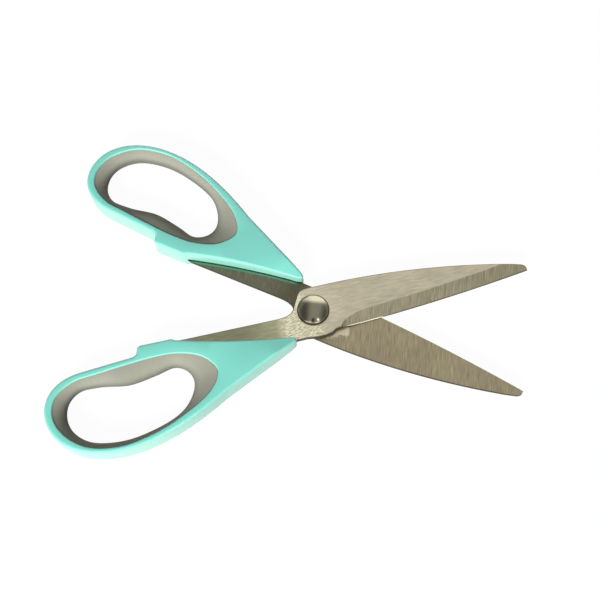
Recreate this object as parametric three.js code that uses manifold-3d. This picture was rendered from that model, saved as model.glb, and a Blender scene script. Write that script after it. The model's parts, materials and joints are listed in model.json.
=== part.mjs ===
// Household scissors with moulded handles and soft grip liners, lying open on a table.
//
// Millimetres, +Z up. The origin is the middle of the footprint on the table, and the blade tips
// point along +X. The two halves come from one set of shapes: the rear half is the front half
// turned over about the long axis. Both turn on one two-part rivet.
//
// Every shape of a half is drawn in the half's own frame: scissors closed, pivot axis at the
// origin, z = 0 midway between the blades, tip towards +X and handle on the -Y side.

import * as THREE from "three";
import { mergeVertices } from "three/addons/utils/BufferGeometryUtils.js";
import Module from "manifold-3d";

const wasm = await Module();
wasm.setup();

// Driving dimensions of the assembly
const HALF_OPENING = THREE.MathUtils.degToRad(18); // each half, from closed to the pose shown
const PIVOT_AHEAD = 8.08; // pivot axis, ahead of the middle of the footprint
const SEAT_GAP = 0.3; // between pieces that seat in one another
const RUNNING_GAP = 0.1; // round the pivot, and under its heads

// Driving dimensions of a blade
const BLADE_THICKNESS = 2.0;
const BLADE_SPACING = 0.3; // between the two inner faces
const BLADE_REACH = 91.8; // pivot to tip
const SPINE_HEIGHT = 10.4;
const HEEL_X = 10; // where the cutting edge starts
const EDGE_THICKNESS = 0.3; // left at the cutting edge by the ground bevel
const BEVEL_WIDTH = { heel: 4.8, tip: 6.0 };
const BEVEL_RUNOUT = 13; // length in which the grinding wheel lifts out at the heel
const HOLLOW_DEPTH = 0.15; // of the hollow-ground inner face
const TANG_EDGE_Y = -0.8; // bare inner edge of the tang
const ANCHOR_HOLE = { x: -27, y: -10.6, radius: 2.0 }; // the moulding flows through it

// Driving dimensions of a handle and its grip
const HANDLE_HALF_THICKNESS = 5.75;
const EDGE_ROUND = 1.25; // of the handle's outer edges
const WALL_DRAFT = 0.15; // inset from the parting line to the edge round
const STOP_FACE_Y = -0.15; // closing stop, a hair short of the other half's
const FOLD = { x: -46, y: -5.4, slope: -0.4 }; // fold line of the facet next to the tang
const FACET_FALL = 0.22; // fall of that facet per millimetre away from its fold line
const TONGUE = { half: 1.2, depth: 0.8 }; // rib round the loop that locks the grip
const GRIP_HALF_HEIGHT = 5.4;

// Driving dimensions of the pivot
const BORE_RADIUS = 3.1;
const BARREL = { radius: BORE_RADIUS - RUNNING_GAP, bore: 1.9, floor: -2.0 };
const HEAD = { radius: 6.3, rim: 0.5, crown: 2.1 };
const REAR_HEAD = { radius: 5.6, rim: 0.5, crown: 1.3 };
const WASHER = { radius: 6.75, thickness: 0.4 };

// How finely curves are divided
const OUTLINE_STEP = 3.6;
const GRIND_STEPS = 15;
const LOOP_POINTS = 60;
const GRIP_ARC_STEPS = 8;
const ROUND_STEPS = 3;
const LATHE_STEPS = 30;

// The finger loop, as matched stations round it: a point on the grip's outer border, and the
// point of the finger hole that faces it.
const LOOP_STATIONS = [
  { border: [-112.6, -22.3], hole: [-107.4, -22.8] },
  { border: [-110.2, -14.8], hole: [-105.8, -16.8] },
  { border: [-102.0, -10.0], hole: [-101.0, -12.8] },
  { border: [-92.0, -8.7], hole: [-92.6, -12.6] },
  { border: [-80.0, -7.5], hole: [-80.4, -14.5] },
  { border: [-69.0, -6.7], hole: [-69.3, -12.9] },
  { border: [-58.5, -7.2], hole: [-60.6, -11.2] },
  { border: [-48.6, -11.0], hole: [-55.0, -14.2] },
  { border: [-43.7, -18.0], hole: [-53.3, -18.9] },
  { border: [-47.6, -25.2], hole: [-55.2, -24.6] },
  { border: [-60.0, -33.0], hole: [-61.8, -31.0] },
  { border: [-74.0, -38.3], hole: [-74.8, -35.8] },
  { border: [-88.0, -40.3], hole: [-87.4, -37.2] },
  { border: [-101.0, -37.4], hole: [-99.6, -34.6] },
  { border: [-109.8, -30.0], hole: [-105.8, -28.8] },
];

// Finishes
const finish = (color, roughness, metalness) => ({ color, roughness, metalness });
const GROUND_STEEL = finish(0xaaa591, 0.38, 1.0);
const POLISHED_STEEL = finish(0xb9b5a8, 0.15, 1.0);
const MINT_PLASTIC = finish(0x86dbc9, 0.35, 0.0);
const GREY_RUBBER = finish(0xa8a899, 0.75, 0.0);

// Solids and geometries

function solidOf(geometry) {
  const bare = geometry.clone();
  bare.deleteAttribute("normal");
  bare.deleteAttribute("uv");
  const { attributes, index } = mergeVertices(bare, 1e-4);
  const triangles = [];
  for (let i = 0; i < index.count; i += 3) {
    const [a, b, c] = index.array.slice(i, i + 3);
    if (a !== b && b !== c && c !== a) triangles.push(a, b, c);
  }
  const vertProperties = attributes.position.array;
  return new wasm.Manifold(
    new wasm.Mesh({ numProp: 3, vertProperties, triVerts: new Uint32Array(triangles) }),
  );
}

function geometryOf(solid) {
  const { vertProperties, triVerts } = solid.getMesh();
  const geometry = new THREE.BufferGeometry();
  geometry.setAttribute("position", new THREE.BufferAttribute(vertProperties, 3));
  geometry.setIndex(new THREE.BufferAttribute(triVerts, 1));
  geometry.computeVertexNormals();
  return geometry;
}

// A geometry from points and triangles, turned outwards if it came out inside out.
function closedSurface(points, triangles) {
  const volume = (a, b, c) => points[a].dot(new THREE.Vector3().crossVectors(points[b], points[c]));
  let total = 0;
  for (let i = 0; i < triangles.length; i += 3) total += volume(...triangles.slice(i, i + 3));
  const geometry = new THREE.BufferGeometry().setFromPoints(points);
  geometry.setIndex(total < 0 ? triangles.slice().reverse() : triangles);
  return geometry;
}

// Triangles between rings of equally many points; the last ring meets the first if asked.
function skin(rings, closed) {
  const count = rings[0].length;
  const triangles = [];
  for (let r = 0; r < rings.length - (closed ? 0 : 1); r++) {
    const after = (r + 1) % rings.length;
    for (let i = 0; i < count; i++) {
      const next = (i + 1) % count;
      const [a, b] = [r * count + i, r * count + next];
      const [c, d] = [after * count + next, after * count + i];
      triangles.push(a, b, c, a, c, d);
    }
  }
  return triangles;
}

// A solid through rings of points, with both ends closed by the given triangles of a ring.
function loft(rings, capTriangles) {
  const last = (rings.length - 1) * rings[0].length;
  const ends = [...capTriangles.slice().reverse(), ...capTriangles.map((i) => i + last)];
  return closedSurface(rings.flat(), [...skin(rings, false), ...ends]);
}

function ringLoft(sections) {
  return closedSurface(sections.flat(), skin(sections, true));
}

// Outlines

// The points of a closed path, counter-clockwise: corners kept, curves divided evenly.
function outlinePoints(path) {
  const points = path.curves.flatMap((curve) => {
    const straight = curve.type === "LineCurve";
    const steps = straight ? 1 : Math.max(4, Math.ceil(curve.getLength() / OUTLINE_STEP));
    return curve.getPoints(steps).slice(0, -1);
  });
  return THREE.ShapeUtils.area(points) < 0 ? points.reverse() : points;
}

function outwardNormal(from, to) {
  return new THREE.Vector2(to.y - from.y, from.x - to.x).normalize();
}

// The outline moved outwards by a distance, or inwards by a negative one, with mitred corners.
// Each point may have a share of that distance.
function offset(points, distance, shareAt = () => 1) {
  return points.map((point, i) => {
    const normalIn = outwardNormal(points.at(i - 1), point);
    const normalOut = outwardNormal(point, points[(i + 1) % points.length]);
    const mitre = normalIn.clone().add(normalOut).divideScalar(1 + normalIn.dot(normalOut));
    return point.clone().addScaledVector(mitre, distance * shareAt(point));
  });
}

const raised = (point, z) => new THREE.Vector3(point.x, point.y, z);

function plate(points, low, high, holes = []) {
  const shape = new THREE.Shape(points);
  shape.holes = holes.map((hole) => new THREE.Path(hole));
  const geometry = new THREE.ExtrudeGeometry(shape, { depth: high - low, bevelEnabled: false });
  return solidOf(geometry.translate(0, 0, low));
}

function circle({ x, y, radius }) {
  const arc = new THREE.Path().absarc(x, y, radius, 0, 2 * Math.PI);
  return arc.getPoints(LATHE_STEPS).slice(0, -1);
}

// Blade, from its tip to the end of the tang buried in the handle

const INNER_FACE = BLADE_SPACING / 2;
const OUTER_FACE = INNER_FACE + BLADE_THICKNESS;

const CUTTING_EDGE = new THREE.QuadraticBezierCurve(
  new THREE.Vector2(HEEL_X, -9.0),
  new THREE.Vector2(50, -8.0),
  new THREE.Vector2(BLADE_REACH, -2.0),
);
const SPINE = new THREE.QuadraticBezierCurve(
  new THREE.Vector2(89.6, 0.9),
  new THREE.Vector2(50, SPINE_HEIGHT),
  new THREE.Vector2(10, SPINE_HEIGHT),
);

function bladeOutline() {
  const path = new THREE.Path();
  const { x, y } = CUTTING_EDGE.v0;
  path.moveTo(x, y);
  path.quadraticCurveTo(CUTTING_EDGE.v1.x, CUTTING_EDGE.v1.y, CUTTING_EDGE.v2.x, CUTTING_EDGE.v2.y);
  path.lineTo(BLADE_REACH - 0.2, -0.5);
  path.quadraticCurveTo(BLADE_REACH - 0.5, 0.4, SPINE.v0.x, SPINE.v0.y);
  path.quadraticCurveTo(SPINE.v1.x, SPINE.v1.y, SPINE.v2.x, SPINE.v2.y);
  path.lineTo(-1, SPINE_HEIGHT - 0.1);
  path.quadraticCurveTo(-4.4, SPINE_HEIGHT - 0.2, -5.6, 7.4); // shoulder of the boss
  path.lineTo(-8.2, 2.2);
  path.quadraticCurveTo(-9.7, TANG_EDGE_Y, -16, TANG_EDGE_Y); // neck
  path.lineTo(-56.6, TANG_EDGE_Y);
  path.quadraticCurveTo(-59.6, TANG_EDGE_Y, -60.6, -3.0); // buried end
  path.quadraticCurveTo(-61, -4.6, -57, -4.8);
  path.bezierCurveTo(-44, -5.4, -42, -13.4, -26, -13.4); // buried outer edge
  path.quadraticCurveTo(-17, -13.4, -10.2, -11.4);
  path.lineTo(-5, -11);
  path.quadraticCurveTo(1, -12.2, 5, -10.8); // heel
  path.lineTo(x, y);
  return outlinePoints(path);
}

// What the wheel takes off the outer face: a wedge along the edge, lifting out at the heel.
function bevelCut() {
  const past = 3;
  const rings = [];
  for (let i = 0; i <= GRIND_STEPS; i++) {
    const edge = CUTTING_EDGE.getPoint(i / GRIND_STEPS);
    if (i === GRIND_STEPS) edge.addScaledVector(CUTTING_EDGE.getTangent(1), past);
    const lift = Math.min((edge.x - HEEL_X) / BEVEL_RUNOUT, 1);
    const share = Math.sqrt(1 - (1 - lift) ** 2);
    const full = THREE.MathUtils.lerp(BEVEL_WIDTH.heel, BEVEL_WIDTH.tip, edge.x / BLADE_REACH);
    const slope = (BLADE_THICKNESS - EDGE_THICKNESS) / full;
    const reach = full * share;
    rings.push([
      new THREE.Vector3(edge.x, edge.y + reach, OUTER_FACE),
      new THREE.Vector3(edge.x, edge.y + reach, OUTER_FACE + 1),
      new THREE.Vector3(edge.x, edge.y - past, OUTER_FACE + 1),
      new THREE.Vector3(edge.x, edge.y - past, OUTER_FACE - (reach + past) * slope),
    ]);
  }
  return solidOf(loft(rings, [0, 1, 2, 0, 2, 3]));
}

// The shallow hollow of the inner face. It starts ahead of a flat ride round the pivot, on a
// line square to the blade, and leaves the edge and the spine untouched.
function hollowCut() {
  const across = 6;
  const rings = [];
  for (let i = 0; i <= GRIND_STEPS; i++) {
    const along = i / GRIND_STEPS;
    const low = CUTTING_EDGE.getPoint(THREE.MathUtils.lerp(0.1, 0.96, along));
    const high = SPINE.getPoint(THREE.MathUtils.lerp(0.9, 0.07, along));
    const ring = [];
    for (let k = 0; k <= across; k++) {
      const point = low.clone().lerp(high, THREE.MathUtils.lerp(0.05, 0.93, k / across));
      const bow = 4 * (k / across) * (1 - k / across);
      ring.push(raised(point, INNER_FACE + HOLLOW_DEPTH * bow));
    }
    ring.push(raised(ring.at(-1), INNER_FACE - 1), raised(ring[0], INNER_FACE - 1));
    rings.push(ring);
  }
  const fan = [];
  for (let k = 0; k < across; k++) fan.push(across + 2, k, k + 1);
  fan.push(across + 2, across, across + 1);
  return solidOf(loft(rings, fan));
}

function blade() {
  const holes = [circle({ x: 0, y: 0, radius: BORE_RADIUS }), circle(ANCHOR_HOLE)];
  const blank = plate(bladeOutline(), INNER_FACE, OUTER_FACE, holes);
  return blank.subtract(bevelCut()).subtract(hollowCut());
}

// Room for the tang, with the plug of plastic that fills its anchor hole
function tangSlot() {
  const plug = circle({ ...ANCHOR_HOLE, radius: ANCHOR_HOLE.radius - SEAT_GAP });
  const room = offset(bladeOutline(), SEAT_GAP);
  return plate(room, INNER_FACE - SEAT_GAP, OUTER_FACE + SEAT_GAP, [plug]);
}

// Handle

function handleOutline() {
  const path = new THREE.Path();
  path.moveTo(-58.4, -1.0);
  path.quadraticCurveTo(-35.2, -7.2, -12.6, -9.7); // along the tang
  path.bezierCurveTo(-8.6, -10.1, -8.4, -12, -12.4, -13.7); // nose
  path.lineTo(-42, -27.6);
  path.bezierCurveTo(-53, -34, -70, -42.6, -87, -42.6); // under the loop
  path.bezierCurveTo(-104, -42.6, -115.7, -34, -115.7, -21.5);
  path.bezierCurveTo(-115.7, -13, -109, -7.2, -99, -6.2); // far end of the loop
  path.lineTo(-76.6, -4.4);
  path.quadraticCurveTo(-74.4, -4.2, -74.2, -2.4); // foot of the stop
  path.lineTo(-74, STOP_FACE_Y);
  path.lineTo(-59.8, STOP_FACE_Y);
  path.lineTo(-58.4, -1.0);
  return outlinePoints(path);
}

// Distance past the fold line, towards the nose
const FOLD_NORMAL = new THREE.Vector2(-FOLD.slope, 1).normalize();
const pastFold = (point) => new THREE.Vector2(point.x - FOLD.x, point.y - FOLD.y).dot(FOLD_NORMAL);
const faceHeight = (point) => HANDLE_HALF_THICKNESS - FACET_FALL * Math.max(0, pastFold(point));

// The outline with a point added wherever the fold line leaves the face, which lies inside it.
function withFoldPoints(points, inset, shareAt) {
  const halvings = 30;
  return points.flatMap((from, i) => {
    const to = points[(i + 1) % points.length];
    const normal = outwardNormal(from, to);
    const facePast = (along) => {
      const point = from.clone().lerp(to, along);
      return pastFold(point) - inset * shareAt(point) * normal.dot(FOLD_NORMAL);
    };
    if (facePast(0) * facePast(1) >= 0) return [from];
    let [low, high] = [0, 1];
    for (let k = 0; k < halvings; k++) {
      const middle = (low + high) / 2;
      if (facePast(low) * facePast(middle) > 0) low = middle;
      else high = middle;
    }
    return [from, from.clone().lerp(to, low)];
  });
}

// Triangles of the handle's face: the flat part and the facet, which meet on the fold line.
function foldedFace(face) {
  const onFold = face.flatMap((point, i) => (Math.abs(pastFold(point)) < 0.001 ? [i] : []));
  const [first, second] = [onFold[0], onFold.at(-1)];
  const all = face.map((_, i) => i);
  const parts = [all.slice(first, second + 1), [...all.slice(second), ...all.slice(0, first + 1)]];
  return parts.flatMap((part) => {
    const flat = part.map((i) => face[i]);
    return THREE.ShapeUtils.triangulateShape(flat, []).flat().map((k) => part[k]);
  });
}

function handleBody() {
  const inset = WALL_DRAFT + EDGE_ROUND;
  const wall = HANDLE_HALF_THICKNESS - EDGE_ROUND;
  const upper = [];
  for (let k = 0; k <= ROUND_STEPS; k++) {
    const turn = (k / ROUND_STEPS) * (Math.PI / 2);
    const height = (wall + EDGE_ROUND * Math.sin(turn)) / HANDLE_HALF_THICKNESS;
    upper.push({ height, inset: WALL_DRAFT + EDGE_ROUND * (1 - Math.cos(turn)) });
  }
  const lower = upper.map((level) => ({ ...level, height: -level.height })).reverse();
  const share = (point) => faceHeight(point) / HANDLE_HALF_THICKNESS;
  const outline = withFoldPoints(handleOutline(), inset, share);
  const rings = [...lower, { height: 0, inset: 0 }, ...upper].map((level) =>
    offset(outline, -level.inset, share).map((p) => raised(p, level.height * faceHeight(p))),
  );
  return solidOf(loft(rings, foldedFace(offset(outline, -inset, share))));
}

function loopCurve(side) {
  const through = LOOP_STATIONS.map((station) => new THREE.Vector3(...station[side], 0));
  const curve = new THREE.CatmullRomCurve3(through, true, "centripetal");
  const points = curve.getPoints(LOOP_POINTS).slice(0, -1);
  return points.map((point) => new THREE.Vector2(point.x, point.y)).reverse();
}

// The loop's opening in the handle, narrowed at half height to leave the tongue
function loopCut() {
  const past = HANDLE_HALF_THICKNESS + 1;
  const border = loopCurve("border");
  const inside = offset(border, -TONGUE.depth);
  const rings = [
    border.map((point) => raised(point, -past)),
    border.map((point) => raised(point, -TONGUE.half)),
    inside.map((point) => raised(point, -TONGUE.half)),
    inside.map((point) => raised(point, TONGUE.half)),
    border.map((point) => raised(point, TONGUE.half)),
    border.map((point) => raised(point, past)),
  ];
  return solidOf(loft(rings, THREE.ShapeUtils.triangulateShape(border, []).flat()));
}

function handle() {
  return handleBody().subtract(loopCut()).subtract(tangSlot());
}

// Grip liner: rounded towards the fingers, grooved at the back for the handle's tongue

function grip() {
  const hole = loopCurve("hole");
  const border = loopCurve("border");
  const back = offset(border, -SEAT_GAP);
  const groove = offset(border, -SEAT_GAP - TONGUE.depth);
  const lip = TONGUE.half + SEAT_GAP;
  const sections = hole.map((inner, i) => {
    const section = [];
    for (let k = 0; k <= GRIP_ARC_STEPS; k++) {
      const turn = (k / GRIP_ARC_STEPS) * Math.PI;
      const point = back[i].clone().lerp(inner, Math.sin(turn));
      section.push(raised(point, GRIP_HALF_HEIGHT * Math.cos(turn)));
    }
    const seat = [raised(back[i], -lip), raised(groove[i], -lip)];
    seat.push(raised(groove[i], lip), raised(back[i], lip));
    return [...section, ...seat];
  });
  return solidOf(ringLoft(sections));
}

// Pivot: a domed pin pressed into a barrel that passes through both blades

function turned(profile) {
  const points = profile.map(([radius, z]) => new THREE.Vector2(radius, z));
  const geometry = new THREE.LatheGeometry(points, LATHE_STEPS).rotateX(Math.PI / 2);
  const { attributes, index } = mergeVertices(bareOf(geometry), 1e-4);
  const corners = [];
  for (let i = 0; i < attributes.position.count; i++) {
    corners.push(new THREE.Vector3().fromBufferAttribute(attributes.position, i));
  }
  return solidOf(closedSurface(corners, Array.from(index.array)));
}

function bareOf(geometry) {
  geometry.deleteAttribute("normal");
  geometry.deleteAttribute("uv");
  return geometry;
}

// Profile points of a dome, from its rim in to the axis
function dome({ radius, crown }, base, direction) {
  const steps = 8;
  const sphere = (radius ** 2 + crown ** 2) / (2 * crown);
  const points = [];
  for (let k = 0; k <= steps; k++) {
    const r = radius * (1 - k / steps);
    const rise = Math.sqrt(sphere ** 2 - r ** 2) - (sphere - crown);
    points.push([r, base + direction * rise]);
  }
  return points;
}

function washer() {
  const low = OUTER_FACE + RUNNING_GAP;
  const ring = circle({ x: 0, y: 0, radius: WASHER.radius });
  return plate(ring, low, low + WASHER.thickness, [circle({ x: 0, y: 0, radius: BORE_RADIUS })]);
}

function rivetPin() {
  const seat = OUTER_FACE + WASHER.thickness + 2 * RUNNING_GAP;
  const pin = BARREL.bore - RUNNING_GAP;
  const end = BARREL.floor + RUNNING_GAP;
  return turned([
    [0, end],
    [pin, end],
    [pin, seat],
    [HEAD.radius, seat],
    ...dome(HEAD, seat + HEAD.rim, 1),
  ]);
}

function rivetBarrel() {
  const seat = -OUTER_FACE - RUNNING_GAP;
  const top = OUTER_FACE + WASHER.thickness;
  return turned([
    [0, BARREL.floor],
    [BARREL.bore, BARREL.floor],
    [BARREL.bore, top],
    [BARREL.radius, top],
    [BARREL.radius, seat],
    [REAR_HEAD.radius, seat],
    ...dome(REAR_HEAD, seat - REAR_HEAD.rim, -1),
  ]);
}

// Assembly

function named(name, solid, look) {
  const mesh = new THREE.Mesh(geometryOf(solid), new THREE.MeshStandardMaterial(look));
  mesh.name = name;
  return mesh;
}

function half(side, shapes) {
  const group = new THREE.Group();
  group.name = `${side}_half`;
  group.add(named(`${side}_blade`, shapes.blade, GROUND_STEEL));
  group.add(named(`${side}_handle`, shapes.handle, MINT_PLASTIC));
  group.add(named(`${side}_grip`, shapes.grip, GREY_RUBBER));
  return group;
}

const shapes = { blade: blade(), handle: handle(), grip: grip() };
const frontHalf = half("front", shapes);
frontHalf.rotation.set(0, 0, HALF_OPENING);
const rearHalf = half("rear", shapes);
rearHalf.rotation.set(Math.PI, 0, HALF_OPENING);

const pivot = new THREE.Group();
pivot.name = "pivot";
pivot.add(named("pivot_pin", rivetPin(), POLISHED_STEEL));
pivot.add(named("pivot_washer", washer(), GROUND_STEEL));
pivot.add(named("pivot_barrel", rivetBarrel(), POLISHED_STEEL));

const scissors = new THREE.Group();
scissors.name = "household_scissors";
for (const group of [frontHalf, rearHalf, pivot]) {
  group.position.set(PIVOT_AHEAD, 0, HANDLE_HALF_THICKNESS);
  scissors.add(group);
}

export default scissors;
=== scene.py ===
"""Household scissors: ground steel blades on a domed rivet, mint handles and soft grey grips.

Shapes are drawn in millimetres in the frame of one half: scissors closed, pivot axis at the
origin, z = 0 midway between the blades, tip towards +X and handle on the -Y side. The rear half
is the front half turned over about the long axis, and Side.place carries both into the part.
"""

import json
import logging
import math
from collections.abc import Callable, Sequence
from dataclasses import dataclass, field
from enum import Enum, IntEnum
from typing import Any

import bpy
import numpy as np
from mathutils import Euler, Matrix, Vector
from mathutils.geometry import delaunay_2d_cdt


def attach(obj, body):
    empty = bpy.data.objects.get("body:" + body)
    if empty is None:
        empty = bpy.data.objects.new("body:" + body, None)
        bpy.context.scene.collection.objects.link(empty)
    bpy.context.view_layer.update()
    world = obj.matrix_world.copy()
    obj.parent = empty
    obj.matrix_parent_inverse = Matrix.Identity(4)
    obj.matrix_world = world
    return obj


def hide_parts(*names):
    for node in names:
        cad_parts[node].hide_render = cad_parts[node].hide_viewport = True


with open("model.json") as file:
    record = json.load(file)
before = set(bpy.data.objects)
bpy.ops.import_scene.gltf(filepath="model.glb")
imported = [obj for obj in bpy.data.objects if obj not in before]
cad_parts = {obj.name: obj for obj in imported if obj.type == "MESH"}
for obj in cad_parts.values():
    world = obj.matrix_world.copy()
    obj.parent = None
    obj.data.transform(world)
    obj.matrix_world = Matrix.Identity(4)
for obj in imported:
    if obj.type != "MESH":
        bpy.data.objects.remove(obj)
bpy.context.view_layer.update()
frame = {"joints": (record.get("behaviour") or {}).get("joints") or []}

log = logging.getLogger("scissors")

Colour = tuple[float, float, float]
Size = tuple[float, float, float]
Spot = tuple[float, float]
Span = tuple[float, float]

HINGE = frame["joints"][0]
PIVOT = Vector(HINGE["pos_m"])
HALF_OPENING = -math.radians(HINGE["range_deg"][0]) / 2
MM = 0.001
QUARTER_TURN = math.pi / 2
# Angle in degrees past which an edge of a blade or a handle is sharp.
CREASE = 40
# How far cutters reach past the faces that they cross, in millimetres.
CLEAR = 1.0
# Points closer than this become one after a cut, in millimetres.
SLIVER = 0.002
# Radius of the tiny circle that stands for the axis of a turned piece, in metres.
AXIS_RADIUS = 1e-6
# Mesh attribute that says how far a moulding turns away from level.
AWAY = "turned_away"
# The handle's edge beside the tang, from the stop to the nose: control points of a curve.
TANG_SIDE = ((-58.4, -1.0), (-35.2, -7.2), (-12.6, -9.7))


def srgb(*display: int) -> Colour:
    """A display colour, each part from 0 to 255, as the linear one that shaders take."""
    shares = [part / 255 for part in display]
    return tuple(s / 12.92 if s <= 0.04045 else ((s + 0.055) / 1.055) ** 2.4 for s in shares)


class Side(Enum):
    """The two halves of the scissors."""

    FRONT = "front"
    REAR = "rear"

    @property
    def body(self) -> str:
        """Name of the moving body of this half."""
        return f"{self.value}_half"

    @property
    def turn(self) -> Euler:
        """How the half's own frame is turned in the part."""
        front = self is Side.FRONT
        return Euler((0, 0, HALF_OPENING) if front else (math.pi, 0, -HALF_OPENING))

    @property
    def place(self) -> Matrix:
        """Carries millimetres of the half's own frame into metres of the part."""
        return Matrix.Translation(PIVOT) @ self.turn.to_matrix().to_4x4() @ Matrix.Scale(MM, 4)


# Outlines and meshes


def bezier(controls: Sequence[Spot], at: np.ndarray) -> np.ndarray:
    """Points of a Bezier curve of any order.

    Args:
        controls: Control points, first and last on the curve.
        at: Places along the curve, 0 to 1.

    Returns:
        One row of x and y for each place.
    """
    order = len(controls) - 1
    shares = [math.comb(order, k) * at**k * (1 - at) ** (order - k) for k in range(order + 1)]
    return np.stack(shares, axis=1) @ np.array(controls, float)


@dataclass
class Pen:
    """Draws a closed outline stroke by stroke, from a point and in steps of about one length."""

    at: Spot
    step: float
    parts: list[np.ndarray] = field(default_factory=list)
    marks: list[str] = field(default_factory=list)

    def stroke(self, *controls: Spot, mark: str = "") -> "Pen":
        """Draw a line, or a curve with one or two pulling points before its end.

        Args:
            controls: The pulling points, if any, and the end of the stroke.
            mark: A name for the stroke.

        Returns:
            The pen, for the next stroke.
        """
        chain = (self.at, *controls)
        length = sum(math.dist(a, b) for a, b in zip(chain, chain[1:]))
        steps = max(2, math.ceil(length / self.step))
        self.parts.append(bezier(chain, np.arange(steps) / steps))
        self.marks += [mark] * steps
        self.at = controls[-1]
        return self

    def outline(self) -> "Outline":
        """The finished outline, turned counter-clockwise.

        Returns:
            The outline with the mark of each point's stroke.
        """
        points = np.concatenate(self.parts)
        marks = np.array(self.marks)
        nearby = np.roll(points, -1, axis=0)
        area = np.sum(points[:, 0] * nearby[:, 1] - points[:, 1] * nearby[:, 0])
        if area < 0:
            points, marks = points[::-1], marks[::-1]
        return Outline(points, marks)


@dataclass
class Outline:
    """A closed outline, counter-clockwise, and the mark of each point's stroke if it has them."""

    points: np.ndarray
    marks: np.ndarray | None = None

    def offset(self, distance: float, share: np.ndarray | float = 1.0) -> np.ndarray:
        """The outline moved outwards with mitred corners.

        Args:
            distance: How far outwards, or inwards if negative.
            share: Share of that distance for each point.

        Returns:
            The moved points.
        """
        along = np.roll(self.points, -1, axis=0) - self.points
        after = np.stack([along[:, 1], -along[:, 0]], axis=1)
        after /= np.linalg.norm(after, axis=1, keepdims=True)
        before = np.roll(after, 1, axis=0)
        mitre = (before + after) / (1 + np.sum(before * after, axis=1, keepdims=True))
        return self.points + mitre * np.reshape(distance * np.asarray(share), (-1, 1))


def raised(points: np.ndarray, height: np.ndarray | float) -> np.ndarray:
    """Flat points lifted to a height, or each to its own."""
    column = np.broadcast_to(np.asarray(height, float), len(points))
    return np.column_stack([points, column])


def smooth_loop(stations: Sequence[Spot], count: int) -> np.ndarray:
    """A closed centripetal curve through stations, divided evenly between them.

    Args:
        stations: Points that the curve passes.
        count: Points to return.

    Returns:
        Rows of x and y, counter-clockwise when the stations run clockwise.
    """
    through = np.array(stations, float)
    total = len(through)
    blends = ((0, 1), (1, 2), (2, 3)), ((0, 2), (1, 3)), ((1, 2),)
    rows = []
    for k in range(count):
        place = k / count * total
        first = int(place)
        ends = [through[(first + shift) % total] for shift in (-1, 0, 1, 2)]
        knots = [0.0]
        for a, b in zip(ends, ends[1:]):
            knots.append(knots[-1] + math.dist(a, b) ** 0.5)
        at = knots[1] + (place - first) * (knots[2] - knots[1])
        for spans in blends:
            ends = [
                (a * (knots[late] - at) + b * (at - knots[early])) / (knots[late] - knots[early])
                for a, b, (early, late) in zip(ends, ends[1:], spans)
            ]
        rows.append(ends[0])
    return np.array(rows)[::-1]


def inside(points: np.ndarray, polygon: np.ndarray) -> np.ndarray:
    """Which points lie inside a closed polygon.

    Args:
        points: Rows of x and y to test.
        polygon: Corners of the polygon.

    Returns:
        True for each point inside.
    """
    found = np.zeros(len(points), bool)
    for (ax, ay), (bx, by) in zip(polygon, np.roll(polygon, -1, axis=0)):
        spans = (ay > points[:, 1]) != (by > points[:, 1])
        if ay != by:
            crossing = ax + (points[:, 1] - ay) / (by - ay) * (bx - ax)
            found ^= spans & (points[:, 0] < crossing)
    return found


def linked(name: str, data: bpy.types.ID) -> bpy.types.Object:
    """Make an object.

    Args:
        name: Name of the object.
        data: Its mesh, lamp or camera.

    Returns:
        The object, linked to the scene.
    """
    made = bpy.data.objects.new(name, data)
    bpy.context.scene.collection.objects.link(made)
    return made


@dataclass
class Shell:
    """A closed mesh in the making, in the half's own millimetres."""

    points: list[list[float]] = field(default_factory=list)
    faces: list[tuple[int, ...]] = field(default_factory=list)

    def add(self, points: np.ndarray) -> np.ndarray:
        """Add points, and return their numbers."""
        self.points += points.tolist()
        return np.arange(len(self.points) - len(points), len(self.points))

    def face(self, numbers: Sequence[int]) -> None:
        """Add a face over points, counter-clockwise from outside."""
        self.faces.append(tuple(int(number) for number in numbers))

    def skin(self, rings: Sequence[np.ndarray]) -> None:
        """Join rings, each to the next, all the way round.

        Args:
            rings: Point numbers of each ring.
        """
        for low, high in zip(rings, rings[1:]):
            for quad in zip(low, np.roll(low, -1), np.roll(high, -1), high):
                self.face(quad)

    def object(self, name: str, side: Side) -> bpy.types.Object:
        """Make the object, placed by its half.

        Args:
            name: Name of the object.
            side: The half that places it.

        Returns:
            The object, linked to the scene.
        """
        mesh = bpy.data.meshes.new(name)
        mesh.from_pydata(self.points, [], self.faces)
        mesh.transform(side.place)
        mesh.update()
        return linked(name, mesh)


def lofted(rings: Sequence[np.ndarray]) -> Shell:
    """A shell through rings of points, with a flat face over each end.

    Args:
        rings: Rings of points, counter-clockwise from the last one's side.

    Returns:
        The shell.
    """
    shell = Shell()
    numbers = [shell.add(ring) for ring in rings]
    shell.skin(numbers)
    shell.face(numbers[0][::-1])
    shell.face(numbers[-1])
    return shell


def settle(made: bpy.types.Object) -> None:
    """Turn an object's modifiers into plain mesh.

    Args:
        made: The object.
    """
    graph = bpy.context.evaluated_depsgraph_get()
    mesh = bpy.data.meshes.new_from_object(made.evaluated_get(graph), depsgraph=graph)
    made.modifiers.clear()
    spent = made.data
    made.data = mesh
    bpy.data.meshes.remove(spent)
    mesh.name = made.name


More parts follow.
